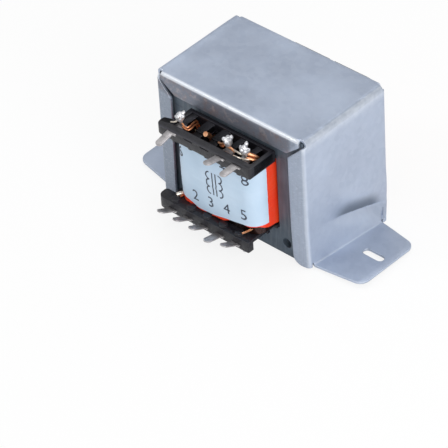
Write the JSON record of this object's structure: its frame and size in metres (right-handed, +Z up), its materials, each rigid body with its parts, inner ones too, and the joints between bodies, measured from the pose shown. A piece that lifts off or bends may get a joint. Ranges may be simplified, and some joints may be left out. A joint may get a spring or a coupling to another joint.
{
  "type": "speaker line transformer",
  "caption": "Laminated core transformer with a taped coil on a moulded bobbin with solder tags, in a folded sheet frame with slotted feet.",
  "frame": {"origin": "middle of the plane on which the feet stand, half way between the two foot slots", "axes": "+X to the right along the front, +Y to the back, +Z up; the solder tags point to -Y"},
  "size_m": [0.1102, 0.0764, 0.0564],
  "materials": {
    "zinc_plated_sheet": "zinc plated, satin",
    "core_steel": "varnished laminations, dull",
    "black_moulding": "satin moulding",
    "copper_wire": "enamelled copper, glossy",
    "clear_film": "insulating film",
    "orange_tape": "glossy polyester tape",
    "label_paper": "smooth coated paper",
    "tinned_tag": "tinned, dull",
    "solder": "bright solder"
  },
  "bodies": {
    "root": {"mounting_frame": "zinc_plated_sheet", "e_laminations": "core_steel", "i_laminations": "core_steel", "bobbin": "black_moulding", "primary_winding": "copper_wire", "interlayer_film": "clear_film", "secondary_winding": "copper_wire", "winding_tape": "orange_tape", "label": "label_paper", "spare_lead": "copper_wire", "upper_tag_1": "tinned_tag", "upper_lead_1": "copper_wire", "upper_solder_1": "solder", "upper_tag_4": "tinned_tag", "upper_lead_4": "copper_wire", "upper_solder_4": "solder", "upper_tag_5": "tinned_tag", "upper_lead_5": "copper_wire", "upper_solder_5": "solder", "lower_tag_1": "tinned_tag", "lower_lead_1": "copper_wire", "lower_solder_1": "solder", "lower_tag_2": "tinned_tag", "lower_lead_2": "copper_wire", "lower_solder_2": "solder", "lower_tag_3": "tinned_tag", "lower_lead_3": "copper_wire", "lower_solder_3": "solder", "lower_tag_4": "tinned_tag", "lower_lead_4": "copper_wire", "lower_solder_4": "solder", "lower_tag_5": "tinned_tag", "lower_lead_5": "copper_wire", "lower_solder_5": "solder"}
  },
  "joints": []
}
